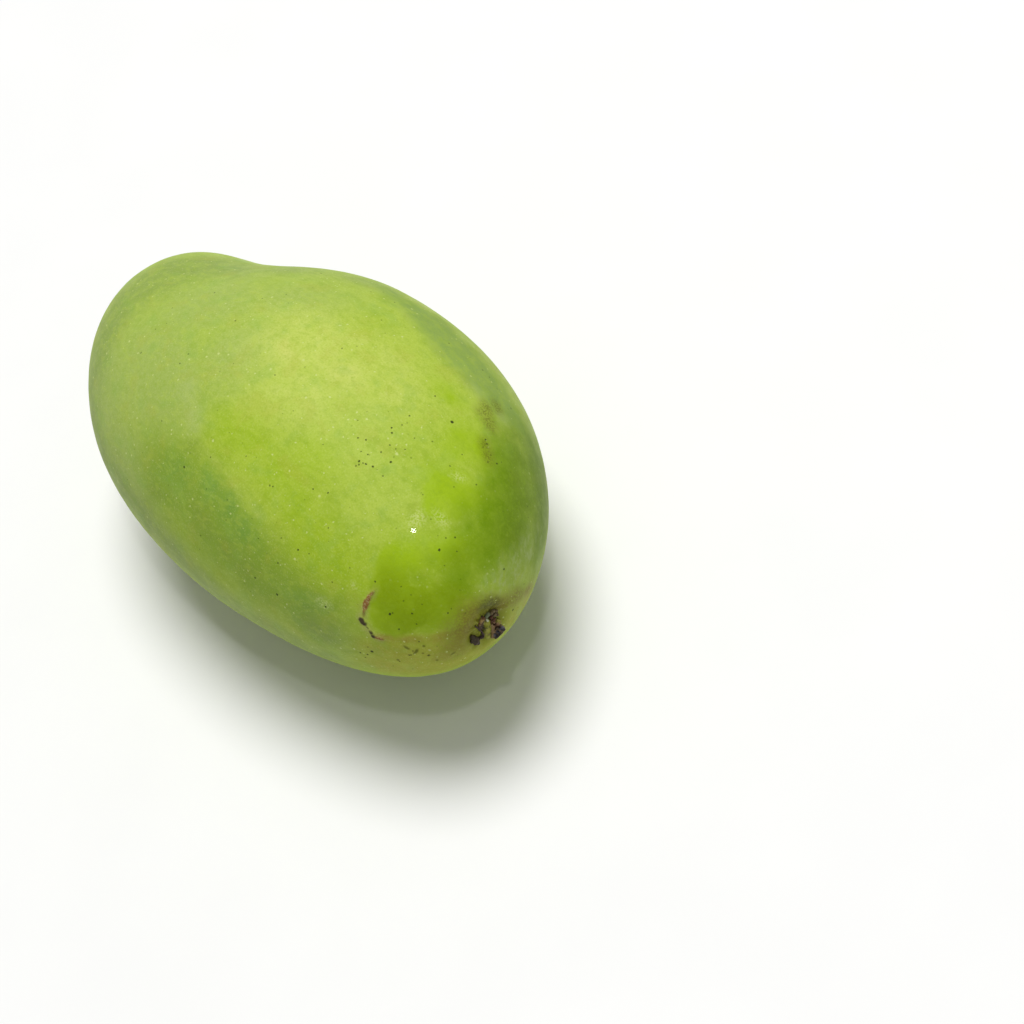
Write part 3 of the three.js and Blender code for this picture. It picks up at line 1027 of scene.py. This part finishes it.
# Colours, linear
BARK_DARK = (0.042, 0.030, 0.016)
BARK_BROWN = (0.130, 0.090, 0.040)
PITH_GREEN = (0.260, 0.285, 0.018)
PITH_YELLOW = (0.350, 0.350, 0.050)
BARK_TINTS = {
    "left lump": (0.042, 0.032, 0.016),
    "left arm": (0.056, 0.036, 0.030),
    "left flap": (0.400, 0.270, 0.095),
    "red grains": (0.095, 0.036, 0.015),
    "grey bit": (0.160, 0.210, 0.110),
    "white bit": (0.550, 0.600, 0.400),
    "brown grains": (0.160, 0.120, 0.055),
    "yellow lump": (0.300, 0.275, 0.040),
    "pink grains": (0.300, 0.180, 0.095),
    "right ridge": (0.280, 0.185, 0.085),
    "right slab": (0.080, 0.082, 0.105),
    # The slab's lower edge: dark bark, darkened further with painted shade on that side
    "slab edge shade": (0.014, 0.011, 0.014),
}


def over(steps):
    """Places over pixels in mm: each with its radius and its lift over the skin."""
    return [
        (Vector(in_mm(over_skin(x, y, lift * MM))), radius, lift)
        for x, y, radius, lift in steps
    ]


def add_lump(shape, place, radius):
    lump = bmesh.ops.create_icosphere(shape, subdivisions=2, radius=radius)
    for corner in lump["verts"]:
        uneven = 1 + UNEVENNESS * random.uniform(-1, 1)
        corner.co = corner.co * uneven + place


def add_bar(shape, start, end, start_radius, end_radius):
    turn = (end - start).to_track_quat("Z", "Y").to_matrix().to_4x4()
    bmesh.ops.create_cone(
        shape, cap_ends=True, segments=16, radius1=start_radius, radius2=end_radius,
        depth=(end - start).length, matrix=Matrix.Translation((start + end) / 2) @ turn,
    )


def stump_mesh():
    shape = bmesh.new()
    for rows in (PITH, *BARK.values()):
        for row in rows:
            steps = over(row)
            for place, radius, lift in steps:
                add_lump(shape, place, radius)
                add_bar(shape, place - Vector((lift, 0, 0)), place, radius, TAPER * radius)
            for (start, start_radius, _), (end, end_radius, _) in zip(steps, steps[1:]):
                add_bar(shape, start, end, start_radius, end_radius)
    foot = Vector(in_mm(stem_foot))
    bmesh.ops.create_uvsphere(
        shape, u_segments=32, v_segments=16, radius=1,
        matrix=Matrix.Translation(foot) @ Matrix.Diagonal(
            (COLLAR_THICKNESS, COLLAR_RADIUS, COLLAR_RADIUS, 1)),
    )
    mesh = bpy.data.meshes.new("lumps")
    shape.to_mesh(mesh)
    shape.free()

    lumps = bpy.data.objects.new("lumps", mesh)
    bpy.context.scene.collection.objects.link(lumps)
    remesh = lumps.modifiers.new("one closed skin", "REMESH")
    remesh.mode = "VOXEL"
    remesh.voxel_size = VOXEL
    joined = bpy.data.meshes.new_from_object(
        lumps.evaluated_get(bpy.context.evaluated_depsgraph_get())
    )
    bpy.data.objects.remove(lumps)
    bpy.data.meshes.remove(mesh)

    normals = [vertex.normal.copy() for vertex in joined.vertices]
    for vertex, normal in zip(joined.vertices, normals):
        height = sum(
            amount * noise.noise(vertex.co / size) for size, amount in (BARK_LUMPS, BARK_GRAIN)
        )
        vertex.co = (vertex.co + normal * height) * MM
    joined.update()
    return joined


def stump_material():
    s = Shader("stump_bark")
    ragged = s.wobble(0.6, 0.16)
    lumps = s.noise(0.9, detail=4, shift=1.0)["Fac"]
    grain = s.noise(0.25, detail=3, shift=4.0)["Fac"]
    broken = s.ramp(grain, 0.30, 0.55, 0.6, 1.0)
    colour = s.mix(s.ramp(lumps, 0.40, 0.62), BARK_DARK, BARK_BROWN)

    def reach(rows, more):
        return [[(place, radius + more) for place, radius, _ in over(row)] for row in rows]

    for name, tint in BARK_TINTS.items():
        mask = s.stroke(ragged, reach(BARK[name], BARK_SPREAD), BARK_EDGE)
        colour = s.mix(s.math("MULTIPLY", mask, broken), colour, tint)
    pith = s.stroke(ragged, reach(PITH, PITH_SPREAD), PITH_EDGE)
    colour = s.mix(pith, colour, s.mix(s.ramp(lumps, 0.4, 0.65), PITH_GREEN, PITH_YELLOW))
    s.put(colour, s.surface.inputs["Base Color"])
    s.put(s.math("MULTIPLY_ADD", grain, 0.4, 0.45), s.surface.inputs["Roughness"])
    s.surface.inputs["Specular IOR Level"].default_value = BARK_SPECULAR
    s.put(s.bump(s.math("MULTIPLY", grain, BARK_BUMP)), s.surface.inputs["Normal"])
    return s.material


stump = make_object("stalk_stump", stump_mesh(), stump_material())
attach(stump, "root")
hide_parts("stem_stub")


# ------------------------------------------------------------------ floor and light

FLOOR_HALF = 3.0
FLOOR_COLOUR = (0.86, 0.86, 0.85)
FLOOR_DARKER = 0.985
FLOOR_CLOUDS = 40.0      # millimetres
FLOOR_ROUGHNESS = 0.7
OVERHEAD_PLACE = (-0.3, 0.32, 2.2)
OVERHEAD_SIZE = 1.2
OVERHEAD_WATTS = 44.0
SKY_COLOUR = (1.0, 1.0, 1.0)
SKY_STRENGTH = 0.30
GLINT_PIXEL = (413.6, 531)    # where the small lamp is mirrored
SPARK_DISTANCE = 0.9
SPARK_SIZE = 0.045
SPARK_WATTS = 0.55


def add_floor():
    s = Shader("floor")
    tone = s.ramp(s.noise(FLOOR_CLOUDS)["Fac"], 0.3, 0.7)
    darker = tuple(value * FLOOR_DARKER for value in FLOOR_COLOUR)
    s.put(s.mix(tone, FLOOR_COLOUR, darker), s.surface.inputs["Base Color"])
    s.surface.inputs["Roughness"].default_value = FLOOR_ROUGHNESS
    mesh = bpy.data.meshes.new("floor")
    h = FLOOR_HALF
    mesh.from_pydata([(-h, -h, 0), (h, -h, 0), (h, h, 0), (-h, h, 0)], [], [(0, 1, 2, 3)])
    make_object("floor", mesh, s.material)


def add_lamp(name, place, target, size, watts):
    light = bpy.data.lights.new(name, "AREA")
    light.shape = "DISK"
    light.size = size
    light.energy = watts
    lamp = bpy.data.objects.new(name, light)
    lamp.location = place
    lamp.rotation_euler = (Vector(place) - Vector(target)).to_track_quat("Z", "Y").to_euler()
    bpy.context.scene.collection.objects.link(lamp)


def add_world():
    world = bpy.data.worlds.new("studio")
    bpy.context.scene.world = world
    world.use_nodes = True
    sky = world.node_tree.nodes["Background"]
    sky.inputs["Color"].default_value = (*SKY_COLOUR, 1)
    sky.inputs["Strength"].default_value = SKY_STRENGTH


add_floor()
add_world()
add_lamp("overhead", OVERHEAD_PLACE, fruit_middle, OVERHEAD_SIZE, OVERHEAD_WATTS)

# A small lamp, placed so that the camera sees it mirrored in the wet spots
glint_place = skin_at(*GLINT_PIXEL)[0]
glint_corner = min(skin.data.vertices, key=lambda corner: (corner.co - glint_place).length)
to_camera = (camera_place - glint_place).normalized()
mirrored = -to_camera.reflect(glint_corner.normal)
spark_place = glint_place + mirrored * SPARK_DISTANCE
add_lamp("spark", spark_place, glint_place, SPARK_SIZE, SPARK_WATTS)
bpy.context.scene.view_settings.view_transform = "Standard"

bpy.context.view_layer.update()
